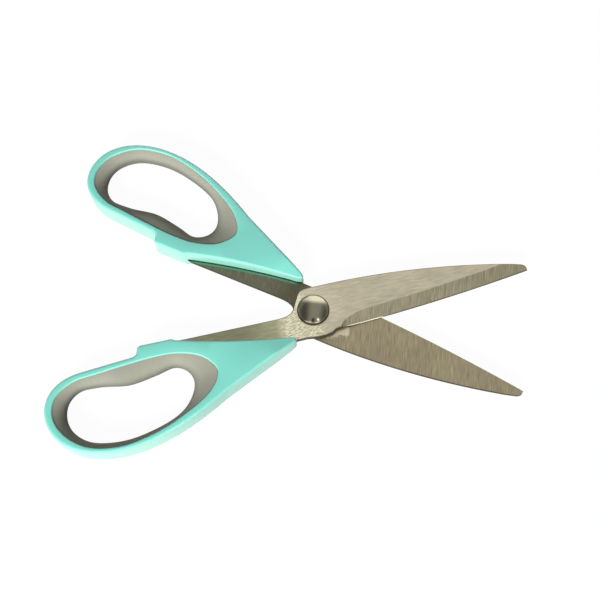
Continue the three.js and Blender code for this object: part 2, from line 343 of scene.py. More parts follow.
def carve(made: bpy.types.Object, cutters: Sequence[bpy.types.Object]) -> None:
    """Cut shapes out of an object, and throw the cutters away.

    Args:
        made: The object to cut.
        cutters: Closed shapes to take out of it.
    """
    for cutter in cutters:
        cut = made.modifiers.new(cutter.name, "BOOLEAN")
        cut.operation = "DIFFERENCE"
        cut.solver = "EXACT"
        cut.object = cutter
        made.modifiers.new("slivers", "WELD").merge_threshold = SLIVER * MM
    settle(made)
    for cutter in cutters:
        mesh = cutter.data
        bpy.data.objects.remove(cutter)
        bpy.data.meshes.remove(mesh)


def shade(made: bpy.types.Object, crease: float, zones: Sequence[int] | None = None) -> None:
    """Shade smoothly, with sharp edges at creases and between zones.

    Args:
        made: The object to shade.
        crease: Angle in degrees past which an edge is sharp.
        zones: A number for each face; edges between different ones are sharp.
    """
    mesh = made.data
    mesh.shade_smooth()
    mesh.set_sharp_from_angle(angle=math.radians(crease))
    if zones is None:
        return
    seen: dict[tuple[int, int], int] = {}
    split = set()
    for face in mesh.polygons:
        for key in face.edge_keys:
            if seen.setdefault(key, zones[face.index]) != zones[face.index]:
                split.add(key)
    for edge in mesh.edges:
        if edge.key in split:
            edge.use_edge_sharp = True


# Shader building


@dataclass(frozen=True)
class Wire:
    """A shader value, from an output socket of a recipe's node. Sums on wires add Math nodes."""

    recipe: "Recipe"
    socket: bpy.types.NodeSocket

    def __add__(self, other: "Wire | float") -> "Wire":
        """Sum."""
        return self.recipe.math("ADD", self, other)

    __radd__ = __add__

    def __sub__(self, other: "Wire | float") -> "Wire":
        """Difference."""
        return self.recipe.math("SUBTRACT", self, other)

    def __rsub__(self, other: "Wire | float") -> "Wire":
        """Difference from a number."""
        return self.recipe.math("SUBTRACT", other, self)

    def __mul__(self, other: "Wire | float") -> "Wire":
        """Product."""
        return self.recipe.math("MULTIPLY", self, other)

    __rmul__ = __mul__

    def swing(self, size: float) -> "Wire":
        """Noise from 0 to 1 as a change either way, of that size from end to end."""
        return (self - 0.5) * size

    def between(self, low: float, high: float) -> "Wire":
        """A share from 0 to 1 as a value from low to high."""
        return low + self * (high - low)

    def step(self, start: float, end: float) -> "Wire":
        """Rise smoothly from 0 to 1.

        Args:
            start: The value with 0.
            end: The value with 1; it may be the smaller one.

        Returns:
            The risen value.
        """
        ends = {"Value": self, "From Min": min(start, end), "From Max": max(start, end)}
        kind = {"interpolation_type": "SMOOTHSTEP"}
        rise = self.recipe.wire("ShaderNodeMapRange", kind, ends)
        return rise if start < end else 1 - rise


Sockets = dict[str, Wire | float]


@dataclass
class Recipe:
    """The node tree of one material or of the world."""

    owner: bpy.types.Material | bpy.types.World

    def __post_init__(self) -> None:
        """Start with an empty tree."""
        self.owner.use_nodes = True
        self.tree.nodes.clear()

    @property
    def tree(self) -> bpy.types.NodeTree:
        """The tree that holds the nodes."""
        return self.owner.node_tree

    def add(
        self,
        kind: str,
        settings: dict[str, Any] | None = None,
        inputs: dict[str | int, Any] | None = None,
    ) -> bpy.types.Node:
        """Add any node.

        Args:
            kind: Blender's name of the node type.
            settings: Properties to set first.
            inputs: Values, wires or sockets for its inputs, by name or number.

        Returns:
            The new node.
        """
        node = self.tree.nodes.new(kind)
        for name, value in (settings or {}).items():
            setattr(node, name, value)
        for name, value in (inputs or {}).items():
            source = value.socket if isinstance(value, Wire) else value
            if isinstance(source, bpy.types.NodeSocket):
                self.tree.links.new(source, node.inputs[name])
            else:
                node.inputs[name].default_value = source
        return node

    def wire(self, kind: str, *details: dict[Any, Any] | None, output: int | str = 0) -> Wire:
        """Add a node as add does, with its settings and inputs, and take one of its outputs."""
        return Wire(self, self.add(kind, *details).outputs[output])

    def math(self, operation: str, *values: Wire | float) -> Wire:
        """One Math node on wires and numbers."""
        return self.wire("ShaderNodeMath", {"operation": operation}, dict(enumerate(values)))

    def object_place(self) -> Wire:
        """The place on the part, in metres."""
        return self.wire("ShaderNodeTexCoord", output="Object")

    def half_place(self, side: Side) -> Wire:
        """The place in a half's own frame, in millimetres."""
        inputs = {"Location": PIVOT, "Rotation": side.turn, "Scale": (MM, MM, MM), 0: self.object_place()}
        return self.wire("ShaderNodeMapping", {"vector_type": "TEXTURE"}, inputs)

    def turned(self, place: Wire, degrees: float) -> Wire:
        """A place turned about z."""
        inputs = {"Vector": place, "Rotation": (0, 0, math.radians(degrees))}
        return self.wire("ShaderNodeMapping", None, inputs)

    def parts(self, vector: Wire) -> list[Wire]:
        """The x, y and z of a vector."""
        node = self.add("ShaderNodeSeparateXYZ", None, {0: vector})
        return [Wire(self, output) for output in node.outputs]

    def noise(self, place: Wire, size: Sequence[float], detail: float = 2.0, seed: float = 0.0) -> Wire:
        """Noise from 0 to 1, with marks of about the given size along x, y and z.

        Args:
            place: Where it is read.
            size: Length of a mark along each axis, in the units of the place.
            detail: Finer layers to add.
            seed: Shift that tells one noise from another.

        Returns:
            The noise.
        """
        scale = tuple(1 / length for length in size)
        inputs = {"Vector": place, "Location": (seed, seed, seed), "Scale": scale}
        mapped = self.wire("ShaderNodeMapping", {"vector_type": "POINT"}, inputs)
        inputs = {"Vector": mapped, "Scale": 1.0, "Detail": detail, "Roughness": 0.55}
        return self.wire("ShaderNodeTexNoise", None, inputs)

    def mix(self, share: Wire, first: Wire | Colour, second: Wire | Colour) -> Wire:
        """Blend two colours.

        Args:
            share: Share of the second colour.
            first: A colour.
            second: Another.

        Returns:
            The blend.
        """
        colours = [c if isinstance(c, Wire) else (*c, 1.0) for c in (first, second)]
        inputs = {0: share, 6: colours[0], 7: colours[1]}
        return self.wire("ShaderNodeMix", {"data_type": "RGBA", "clamp_factor": True}, inputs, output=2)

    def scaled(self, colour: Wire | Colour, factor: Wire) -> Wire:
        """A colour made lighter or darker."""
        return self.wire("ShaderNodeVectorMath", {"operation": "SCALE"}, {0: colour, "Scale": factor})

    def bump(self, height: Wire, strength: float, depth: float) -> Wire:
        """A normal from a height; the depth is in millimetres."""
        inputs = {"Height": height, "Strength": strength, "Distance": depth * MM}
        return self.wire("ShaderNodeBump", None, inputs)

    def principled(self, sockets: Sockets) -> None:
        """End the material in a principled shader with these sockets."""
        shader = self.add("ShaderNodeBsdfPrincipled", None, sockets)
        self.add("ShaderNodeOutputMaterial", None, {"Surface": shader.outputs[0]})


# Finishes


class Grain(Enum):
    """The wheel's lines on steel: size of a mark along x, y and z, and their lean in degrees."""

    ALONG = ((4.5, 0.4, 0.4), 0.0)
    ACROSS = ((0.27, 6.0, 6.0), 18.0)


@dataclass(frozen=True)
class Finish:
    """How a surface looks. A relief is given by its strength and its depth in millimetres."""

    name: str
    tone: Colour

    def surface(self, recipe: Recipe, place: Wire) -> Sockets:
        """What the sockets of the principled shader get.

        Args:
            recipe: The material in the making.
            place: Where the finish is read, in a half's own frame or on the part.

        Returns:
            Wires and numbers by the names of the sockets.
        """
        raise NotImplementedError

    def material(self, side: Side | None = None) -> bpy.types.Material:
        """The finish as a material, made when it is first asked for.

        Args:
            side: The half in whose own frame it is read, if it isn't read on the part.

        Returns:
            The material.
        """
        name = f"{self.name}_{side.value}" if side else self.name
        known = bpy.data.materials.get(name)
        if known:
            return known
        recipe = Recipe(bpy.data.materials.new(name))
        place = recipe.half_place(side) if side else recipe.object_place()
        recipe.principled(self.surface(recipe, place))
        return recipe.owner


@dataclass(frozen=True)
class GroundSteel(Finish):
    """Steel with the fine lines of a grinding wheel."""

    stain: Colour
    grain: Grain
    contrast: float
    roughness: float = 0.38
    metallic: float = 1.0
    patch_size: Size = (14.0, 14.0, 14.0)
    patch_edge: Span = (0.35, 0.72)
    band_size: float = 5.0
    band_share: float = 0.25
    polish_swing: float = 0.2
    line_relief: Span = (0.25, 0.02)

    def ground(self, recipe: Recipe, place: Wire) -> tuple[Wire, Wire]:
        """The ground colour and the lines in it.

        Args:
            recipe: The material in the making.
            place: Place in the half's own frame.

        Returns:
            The colour, and the lines from 0 to 1.
        """
        marks, lean = self.grain.value
        size = np.array(marks)
        place = recipe.turned(place, lean)
        lines = recipe.noise(place, size, detail=3.0)
        bands = recipe.noise(place, size * self.band_size, seed=7.3)
        patches = recipe.noise(place, self.patch_size, detail=3.0, seed=3.1)
        stained = recipe.mix(patches.step(*self.patch_edge), self.tone, self.stain)
        level = 1 + lines.swing(2 * self.contrast) + bands.swing(self.band_share * self.contrast)
        return recipe.scaled(stained, level), lines

    def worked(self, colour: Wire, lines: Wire) -> Sockets:
        """Steel in a colour, with lines that vary its polish.

        Args:
            colour: The colour.
            lines: The lines, from 0 to 1.

        Returns:
            Wires and numbers by the names of the sockets.
        """
        return {
            "Base Color": colour,
            "Metallic": self.metallic,
            "Specular IOR Level": self.metallic / 2,
            "Roughness": self.roughness + lines.swing(self.polish_swing),
        }

    def relief(self, recipe: Recipe, height: Wire) -> Sockets:
        """The socket that shows the lines as relief."""
        return {"Normal": recipe.bump(height, *self.line_relief)}

    def surface(self, recipe: Recipe, place: Wire) -> Sockets:
        """Ground steel all over."""
        colour, lines = self.ground(recipe, place)
        return self.worked(colour, lines) | self.relief(recipe, lines)


@dataclass(frozen=True)
class FlatSteel(GroundSteel):
    """Lengthwise ground outer face: bright and gritty round the neck, dull on the tang."""

    grit_tone: Colour = srgb(238, 229, 196)
    grit_size: Size = (1.5, 0.45, 0.6)
    grit_lean: float = -8.0
    grit_edge: Span = (0.25, 0.75)
    grit_levels: Span = (0.5, 1.7)
    grit_relief: float = 3.0
    pit: Colour = srgb(130, 122, 92)
    pit_size: Size = (1.1, 0.8, 1.0)
    pit_edge: Span = (0.32, 0.22)
    neck_off_washer: Span = (6.2, 7.4)
    neck_to_tang: Span = (-17.5, -10.5)
    neck_to_boss: Span = (2.5, -4.5)
    neck_slant: float = 0.35
    boss_edge: Span = (15.0, 8.0)
    boss_lift: float = 0.16
    tang_near: Colour = srgb(182, 180, 146)
    tang_far: Colour = srgb(151, 149, 121)
    tang_start: Span = (-13.0, -18.0)
    tang_fade: Span = (-17.0, -33.0)
    tang_level: float = 0.5

    def surface(self, recipe: Recipe, place: Wire) -> Sockets:
        """Gritty neck over the boss, the blade and the tang.

        Args:
            recipe: The material in the making.
            place: Place in the half's own frame.

        Returns:
            Wires and numbers by the names of the sockets.
        """
        ground, lines = self.ground(recipe, place)
        x, y, _ = recipe.parts(place)
        away = recipe.math("SQRT", x * x + y * y)
        neck = away.step(*self.neck_off_washer) * x.step(*self.neck_to_tang)
        neck = neck * (x + y * self.neck_slant).step(*self.neck_to_boss)
        grit = recipe.noise(recipe.turned(place, self.grit_lean), self.grit_size, detail=4.0, seed=11.7)
        pits = recipe.noise(place, self.pit_size, seed=4.4)
        gritty = recipe.scaled(self.grit_tone, grit.step(*self.grit_edge).between(*self.grit_levels))
        gritty = recipe.mix(pits.step(*self.pit_edge), gritty, self.pit)
        tang = recipe.mix(x.step(*self.tang_fade), self.tang_near, self.tang_far)
        tang = recipe.scaled(tang, self.tang_level + lines)
        boss = recipe.scaled(ground, 1 + away.step(*self.boss_edge) * self.boss_lift)
        colour = recipe.mix(neck, recipe.mix(x.step(*self.tang_start), boss, tang), gritty)
        relief = self.relief(recipe, lines + neck * grit * self.grit_relief)
        return self.worked(colour, lines) | relief


@dataclass(frozen=True)
class InnerSteel(GroundSteel):
    """Cross-ground inner face, with a paler ride by the pivot, partly wear and partly painted light, and a
    dark, smoother tang.
    """

    # The ride is wear where the other blade rubs. Its tone is also lightened as painted light against the
    # shade under the front blade's edge.
    ride_and_painted_light: Colour = srgb(238, 227, 192)
    ride_levels: Span = (0.86, 1.14)
    ride_start: Span = (1.0, 5.0)
    ride_edge: Span = (14.2, 12.6)
    ride_slant: float = 0.55
    ride_ragged: float = 5.0
    ride_end: Span = (16.5, 16.1)
    ride_end_slant: float = 0.42
    ride_share: float = 0.85
    rag_size: Size = (2.2, 2.2, 2.2)
    # The tang's tone, darker near the boss as painted shade and lighter further out.
    tang_near: Colour = srgb(104, 101, 80)
    tang_far: Colour = srgb(122, 121, 102)
    tang_levels: Span = (0.2, 1.8)
    tang_start: Span = (-2.0, -8.0)
    tang_fade: Span = (-11.0, -26.0)
    tang_roughness: float = 0.24
    handle_fall: float = 12.3
    handle_bend: float = 3.6
    # Painted reflection of the mint handle on the tang, in a band beside the handle's edge.
    painted_reflection: Colour = srgb(124, 186, 156)
    painted_reflection_share: float = 0.7
    painted_reflection_edge: Span = (1.9, 0.5)
    painted_reflection_start: Span = (-11.0, -13.0)
    # Painted shadow along the line where the tang meets the handle's edge.
    painted_shadow_depth: float = 0.75
    painted_shadow_edge: Span = (0.75, 0.45)
    painted_shadow_start: Span = (-9.0, -11.0)

    def ridden(self, recipe: Recipe, place: Wire) -> Wire:
        """Share of the ride, where the other blade has rubbed.

        Args:
            recipe: The material in the making.
            place: Place in the half's own frame.

        Returns:
            The share.
        """
        x, y, _ = recipe.parts(place)
        ragged = recipe.noise(place, self.rag_size, detail=3.0, seed=5.9)
        edge = x * self.ride_slant + y + ragged.swing(self.ride_ragged)
        end = x - y * self.ride_end_slant
        return edge.step(*self.ride_edge) * end.step(*self.ride_end) * x.step(*self.ride_start)

    def tang(self, recipe: Recipe, place: Wire, lines: Wire) -> Wire:
        """Colour of the tang: painted shade by the boss, a painted reflection of the handle and a painted
        shadow along the handle's edge.

        Args:
            recipe: The material in the making.
            place: Place in the half's own frame.
            lines: The wheel's lines.

        Returns:
            The colour.
        """
        x, y, _ = recipe.parts(place)
        (start, across), _, (nose, _) = TANG_SIDE
        along = (x - start) * (1 / (nose - start))
        off_handle = y - across + along * self.handle_fall - along * along * self.handle_bend
        # Painted shade: the tang is darker by the boss and lighter towards the loop.
        colour = recipe.mix(x.step(*self.tang_fade), self.tang_near, self.tang_far)
        colour = recipe.scaled(colour, lines.between(*self.tang_levels))
        # Painted reflection: near the handle's edge the tang takes on the handle's mint.
        painted_reflection_mask = off_handle.step(*self.painted_reflection_edge) * x.step(*self.painted_reflection_start)
        colour = recipe.mix(painted_reflection_mask * self.painted_reflection_share, colour, self.painted_reflection)
        # Painted shadow: the tang darkens right at the handle's edge.
        painted_shadow_mask = off_handle.step(*self.painted_shadow_edge) * x.step(*self.painted_shadow_start)
        return recipe.scaled(colour, 1 - painted_shadow_mask * self.painted_shadow_depth)

    def surface(self, recipe: Recipe, place: Wire) -> Sockets:
        """Ground face with its ride, then the tang.

        Args:
            recipe: The material in the making.
            place: Place in the half's own frame.

        Returns:
            Wires and numbers by the names of the sockets.
        """
        ground, lines = self.ground(recipe, place)
        x, _, _ = recipe.parts(place)
        worn_and_lit = recipe.scaled(self.ride_and_painted_light, lines.between(*self.ride_levels))
        faced = recipe.mix(self.ridden(recipe, place) * self.ride_share, ground, worn_and_lit)
        on_tang = x.step(*self.tang_start)
        colour = recipe.mix(on_tang, faced, self.tang(recipe, place, lines))
        sockets = self.worked(colour, lines) | self.relief(recipe, lines)
        sockets["Roughness"] -= on_tang * (self.roughness - self.tang_roughness)
        return sockets


@dataclass(frozen=True)
class KeenSteel(GroundSteel):
    """The fine ground edge, with a painted highlight by the heel and painted shade beyond."""

    # Painted shade: the dark colour of the edge beyond the heel.
    far: Colour = srgb(62, 59, 48)
    painted_shade_start: Span = (26.0, 31.0)
    painted_shade_ragged: float = 12.0
    nick_size: Size = (1.6, 1.6, 1.6)
    nick_level: float = 0.4

    def surface(self, recipe: Recipe, place: Wire) -> Sockets:
        """Painted highlight broken by nicks by the heel, then painted shade.

        Args:
            recipe: The material in the making.
            place: Place in the half's own frame.

        Returns:
            Wires and numbers by the names of the sockets.
        """
        ground, _ = self.ground(recipe, place)
        x, _, _ = recipe.parts(place)
        nicks = recipe.noise(place, self.nick_size, detail=3.0, seed=8.2)
        # Painted highlight by the heel, broken by the nicks, then painted shade beyond.
        painted_shade_beyond = (x + nicks.swing(self.painted_shade_ragged)).step(*self.painted_shade_start)
        bright = recipe.scaled(ground, self.nick_level + nicks)
        return self.worked(recipe.mix(painted_shade_beyond, bright, self.far), nicks)


@dataclass(frozen=True)
class PolishedSteel(Finish):
    """Turned and polished steel with faint hairlines; its marks are sized in metres."""

    roughness: float
    level: float = 0.94
    haze_size: Size = (0.004, 0.004, 0.004)
    haze_share: float = 0.08
    haze_dulling: float = 0.05
    hair_size: Size = (0.006, 0.00025, 0.004)
    hair_share: float = 0.06
    hair_dulling: float = 0.04
    hair_relief: Span = (0.08, 0.01)

    def surface(self, recipe: Recipe, place: Wire) -> Sockets:
        """Haze and hairlines.

        Args:
            recipe: The material in the making.
            place: Place on the part.

        Returns:
            Wires and numbers by the names of the sockets.
        """
        haze = recipe.noise(place, self.haze_size, detail=3.0)
        hair = recipe.noise(place, self.hair_size, seed=2.0)
        level = self.level + haze * self.haze_share + hair * self.hair_share
        return {
            "Base Color": recipe.scaled(self.tone, level),
            "Metallic": 1.0,
            "Roughness": self.roughness + haze * self.haze_dulling + hair * self.hair_dulling,
            "Normal": recipe.bump(hair, *self.hair_relief),
        }


@dataclass(frozen=True)
class MouldedPlastic(Finish):
    """Semi-gloss moulded plastic with a slight flow of colour, and a painted highlight that makes walls and
    rounded edges paler.

    Its marks are sized in metres.
    """

    deep: Colour
    # The paler colour of the painted highlight, taken more the further a face turns away from level.
    edge: Colour
    roughness: float
    refraction: float = 1.7
    level: float = 0.985
    flow_size: Size = (0.03, 0.03, 0.03)
    flow_edge: Span = (0.3, 0.75)
    flow_share: float = 0.5
    flow_dulling: float = 0.06
    painted_highlight_rise: Span = (0.01, 0.5)
    grain_size: Size = (0.0006, 0.0006, 0.0006)
    grain_share: float = 0.03
    grain_dulling: float = 0.05
    grain_relief: Span = (0.02, 0.004)

    def surface(self, recipe: Recipe, place: Wire) -> Sockets:
        """Flow of colour, a painted highlight on walls and rounded edges, and a fine grain.

        Args:
            recipe: The material in the making.
            place: Place on the part.

        Returns:
            Wires and numbers by the names of the sockets.
        """
        flow = recipe.noise(place, self.flow_size)
        grain = recipe.noise(place, self.grain_size, detail=3.0, seed=4.0)
        away = recipe.wire("ShaderNodeAttribute", {"attribute_name": AWAY}, output="Fac")
        colour = recipe.mix(flow.step(*self.flow_edge) * self.flow_share, self.tone, self.deep)
        # Painted highlight: faces turned away from level take the paler colour.
        colour = recipe.mix(away.step(*self.painted_highlight_rise), colour, self.edge)
        return {
            "Base Color": recipe.scaled(colour, self.level + grain * self.grain_share),
            "Roughness": self.roughness + grain.swing(self.grain_dulling) + flow.swing(self.flow_dulling),
            "IOR": self.refraction,
            "Normal": recipe.bump(grain, *self.grain_relief),
        }


@dataclass(frozen=True)
class SoftMoulding(Finish):
    """Matt soft moulding with a fine sandy skin, and painted shade that darkens it in the depth of the loop.

    Its marks and depth are sized in metres.
    """

    dust: Colour
    roughness: float
    gloss: float = 0.3
    level: float = 0.9
    sand_size: Size = (0.0007, 0.0007, 0.0007)
    sand_share: float = 0.2
    sand_dulling: float = 0.2
    sand_relief: Span = (0.2, 0.05)
    cloud_size: Size = (0.012, 0.012, 0.012)
    cloud_edge: Span = (0.3, 0.7)
    cloud_share: float = 0.6
    # Painted shade: the colour is scaled from the first level at the loop's middle depth to the second level
    # this far off it.
    rise: Span = (0.0, 0.0036)
    painted_shade_levels: Span = (0.52, 1.02)

    def surface(self, recipe: Recipe, place: Wire) -> Sockets:
        """Clouds of dust, sand and painted shade in the depth of the loop.

        Args:
            recipe: The material in the making.
            place: Place on the part.

        Returns:
            Wires and numbers by the names of the sockets.
        """
        sand = recipe.noise(place, self.sand_size, detail=4.0)
        cloud = recipe.noise(place, self.cloud_size, detail=3.0, seed=6.0)
        _, _, z = recipe.parts(place)
        # Painted shade, darker towards the middle of the loop's depth.
        off_middle = recipe.math("ABSOLUTE", z - PIVOT.z)
        lit = off_middle.step(*self.rise).between(*self.painted_shade_levels)
        colour = recipe.mix(cloud.step(*self.cloud_edge) * self.cloud_share, self.tone, self.dust)
        return {
            "Base Color": recipe.scaled(colour, (self.level + sand * self.sand_share) * lit),
            "Roughness": self.roughness + sand.swing(self.sand_dulling),
            "Specular IOR Level": self.gloss,
            "Normal": recipe.bump(sand, *self.sand_relief),
        }


FLAT_STEEL = FlatSteel("flat_steel", srgb(211, 202, 176), srgb(200, 192, 168), Grain.ALONG, 0.4)
BEVEL_STEEL = GroundSteel("bevel_steel", srgb(176, 167, 141), srgb(162, 155, 128), Grain.ACROSS, 0.9)
INNER_STEEL = InnerSteel("inner_steel", srgb(174, 163, 132), srgb(164, 150, 127), Grain.ACROSS, 0.85)
# The blade walls' dark tone is partly the rough-cut steel and partly painted shade.
SHADED_WALL_STEEL = GroundSteel("shaded_wall_steel", srgb(74, 70, 57), srgb(60, 57, 46), Grain.ALONG, 0.2, 0.6, 0.2)
KEEN_STEEL = KeenSteel("keen_steel", srgb(178, 173, 155), srgb(160, 155, 137), Grain.ALONG, 0.5, 0.3)
EDGE_STEEL = GroundSteel("edge_steel", srgb(112, 107, 88), srgb(100, 96, 79), Grain.ALONG, 0.2, 0.45)
DOME_STEEL = PolishedSteel("dome_steel", srgb(140, 136, 117), 0.12)
# The washer's dark tone is painted shade: a dark ring round the dome's rim.
SHADED_WASHER_STEEL = PolishedSteel("shaded_washer_steel", srgb(92, 88, 72), 0.4)
# The mint's third colour is the painted highlight on walls and rounded edges.
MINT = MouldedPlastic(
    "mint_plastic", srgb(134, 227, 211), srgb(128, 223, 206), srgb(146, 206, 189), 0.3
)
GREY_GRIP = SoftMoulding("grey_grip", srgb(158, 158, 144), srgb(150, 151, 137), 0.72)


# Blades


class Zone(IntEnum):
    """Ground surfaces of a blade, in the order of its material slots."""

    FLAT = 0
    BEVEL = 1
    INNER = 2
    WALL = 3
    KEEN = 4
    ROUND = 5


ZONE_FINISHES = (FLAT_STEEL, BEVEL_STEEL, INNER_STEEL, SHADED_WALL_STEEL, KEEN_STEEL, EDGE_STEEL)


@dataclass
class Blade:
    """One blade with its boss and tang."""

    side: Side
    thickness: float = 2.0
    spacing: float = 0.3
    reach: float = 91.79
    spine_height: float = 10.4
    heel: Spot = (10.0, -9.75)
    tip_slope: float = 6.0 / 41.8
    bevel_heel: float = 4.8
    bevel_tip: float = 6.0
    bevel_runout: float = 13.0
    edge_thickness: float = 0.3
    keen_thickness: float = 0.1
    keen_slope: float = 1.0
    grind_past: float = 3.0
    grind_steps: int = 71
    hollow_depth: float = 0.15
    hollow_edge: Span = (0.1, 0.96)
    hollow_spine: Span = (0.9, 0.07)
    hollow_start: float = 0.05
    hollow_width: float = 0.88
    hollow_overlap: float = 0.04
    hollow_steps: tuple[int, int] = (60, 14)
    tang_edge: float = -0.55
    tang_depth: float = -13.4
    front_neck: float = -11.4
    rear_neck: float = -10.2
    bore: float = 3.1
    bore_steps: int = 64
    edge_round: float = 0.35
    round_steps: int = 7
    edge_break: float = 0.08
    step: float = 0.9
    # How far the faces of each zone look outwards, and ground ones towards the cutting edge.
    flat_limit: float = 0.999
    inner_limit: float = -0.9
    bevel_limit: float = 0.85
    keen_limits: Span = (0.5, 0.8)
    round_limit: float = 0.1
    edge_limit: float = -0.05

    @property
    def inner(self) -> float:
        """Height of the inner face."""
        return self.spacing / 2

    @property
    def outer(self) -> float:
        """Height of the outer face."""
        return self.inner + self.thickness

    @property
    def neck_edge(self) -> float:
        """Where the neck's free edge lies across; the front blade has the fuller neck."""
        return self.front_neck if self.side is Side.FRONT else self.rear_neck

    @property
    def cutting_edge(self) -> tuple[Spot, Spot, Spot]:
        """Control points of the cutting edge, from heel to tip."""
        return self.heel, (50, -7.95), (self.reach, -2.0)

    @property
    def spine(self) -> tuple[Spot, Spot, Spot]:
        """Control points of the spine, from tip to boss."""
        return (89.6, 0.9), (50, self.spine_height), (10, self.spine_height)

    def outline(self) -> Outline:
        """The outline of the blade, boss and tang.

        Returns:
            The outline, with the cutting edge marked.
        """
        back, tang, depth, neck = self.spine_height, self.tang_edge, self.tang_depth, self.neck_edge
        pen = Pen(self.heel, self.step)
        pen.stroke(*self.cutting_edge[1:], mark="edge")
        pen.stroke((self.reach - 0.2, -0.5)).stroke((self.reach - 0.5, 0.4), self.spine[0])
        pen.stroke(*self.spine[1:])
        pen.stroke((-1, back - 0.1)).stroke((-4.4, back - 0.2), (-5.6, 7.4))
        pen.stroke((-8.2, 2.2)).stroke((-9.7, tang), (-16, tang))
        pen.stroke((-56.6, tang)).stroke((-59.6, tang), (-60.6, -3.0))
        pen.stroke((-61, -4.6), (-57, -4.8)).stroke((-44, -5.4), (-42, depth), (-26, depth))
        pen.stroke((-17, depth), (-10.2, neck - 0.1)).stroke((-5, neck))
        pen.stroke((1, neck - 0.8), (4.6, neck - 0.2))
        pen.stroke((6.2, neck + 0.1), (7.0, (neck + self.heel[1]) / 2))
        pen.stroke((7.8, self.heel[1] - 0.2), self.heel)
        return pen.outline()

    def blank(self) -> bpy.types.Object:
        """The plate before grinding, its outer edges rounded and its inner ones broken.

        Returns:
            The plate.
        """
        outline = self.outline()
        away = np.where(outline.marks == "edge", 0.0, 1.0)
        rings = [
            raised(outline.offset(-self.edge_break, away), self.inner),
            raised(outline.points, self.inner + self.edge_break),
        ]
        for turn in np.radians(np.linspace(0, 90, self.round_steps)):
            inset = self.edge_round * (1 - math.cos(turn))
            height = self.outer - self.edge_round * (1 - math.sin(turn))
            rings.append(raised(outline.offset(-inset), height))
        return lofted(rings).object(f"{self.side.value}_blade_steel", self.side)

    def grind(self, left: float, slope: Callable[[float], float]) -> bpy.types.Object:
        """What a wheel takes off along the cutting edge, lifting out towards the heel.

        Args:
            left: Thickness left at the edge.
            slope: Rise of the ground face per millimetre, at a place along x.

        Returns:
            The shape to cut away, in sections that lie closer by the heel.
        """
        past, above = self.grind_past, self.outer + CLEAR
        edge = bezier(self.cutting_edge, np.linspace(0, 1, self.grind_steps + 1) ** 2)
        edge[-1] += past, past * self.tip_slope
        rings = []
        for x, y in edge:
            out = min(max(x - self.heel[0], 0.0) / self.bevel_runout, 1.0)
            share = math.sqrt(1 - (1 - out) ** 2)
            rise = slope(x)
            width = (self.thickness - left) / rise * share
            low = self.outer - (width + past) * rise
            section = [(y + width + CLEAR / rise, above), (y - past, above), (y - past, low)]
            rings.append(np.array([(x, across, height) for across, height in section]))
        return lofted(rings).object("grind", self.side)

    def bevel_slope(self, x: float) -> float:
        """Rise of the ground bevel per millimetre, at a place along the blade."""
        width = np.interp(x, (0, self.reach), (self.bevel_heel, self.bevel_tip))
        return (self.thickness - self.edge_thickness) / width

    def hollow(self) -> bpy.types.Object:
        """The shallow hollow of the inner face.

        Returns:
            The shape to cut away.
        """
        steps, across = self.hollow_steps
        edge = bezier(self.cutting_edge, np.linspace(*self.hollow_edge, steps + 1))
        spine = bezier(self.spine, np.linspace(*self.hollow_spine, steps + 1))
        share = np.linspace(-self.hollow_overlap, 1 + self.hollow_overlap, across + 1)
        arch = self.inner + self.hollow_depth * 4 * share * (1 - share)
        rings = []
        for low, high in zip(edge, spine):
            place = low + np.outer(self.hollow_start + share * self.hollow_width, high - low)
            below = raised(place[[-1, 0]], self.inner - CLEAR)
            rings.append(np.concatenate([raised(place, arch), below]))
        return lofted(rings).object("hollow", self.side)

    def bore_cut(self) -> bpy.types.Object:
        """The round hole for the rivet.

        Returns:
            The shape to cut away.
        """
        turn = np.linspace(0, 2 * math.pi, self.bore_steps, endpoint=False)
        ring = self.bore * np.column_stack([np.cos(turn), np.sin(turn)])
        heights = (self.inner - CLEAR, self.outer + CLEAR)
        return lofted([raised(ring, height) for height in heights]).object("bore", self.side)

    def zone(self, normal: Vector, centre: Vector) -> Zone:
        """The zone of one face, from how far it looks outwards and where it lies.

        Args:
            normal: Which way the face looks, in the half's own frame.
            centre: Its middle, in the half's own frame.

        Returns:
            The zone.
        """
        ground = normal.y < self.edge_limit and centre.x > self.heel[0]
        low, high = self.keen_limits
        if normal.z > self.flat_limit:
            return Zone.FLAT
        if normal.z < self.inner_limit:
            return Zone.INNER
        if ground and normal.z > self.bevel_limit:
            return Zone.BEVEL
        if ground and low < normal.z < high and centre.z < self.outer - self.edge_round:
            return Zone.KEEN
        return Zone.ROUND if normal.z > self.round_limit else Zone.WALL

    def build(self) -> bpy.types.Object:
        """Make and dress the blade.

        Returns:
            The finished piece.
        """
        made = self.blank()
        bevel = self.grind(self.edge_thickness, self.bevel_slope)
        keen = self.grind(self.keen_thickness, lambda _: self.keen_slope)
        carve(made, [bevel, keen, self.hollow(), self.bore_cut()])
        for finish in ZONE_FINISHES:
            made.data.materials.append(finish.material(self.side))
        back = self.side.place.inverted()
        turn = self.side.turn.to_matrix().inverted()
        zones = [int(self.zone(turn @ face.normal, back @ face.center)) for face in made.data.polygons]
        made.data.polygons.foreach_set("material_index", zones)
        shade(made, CREASE, zones)
        return made


# Handles and grips


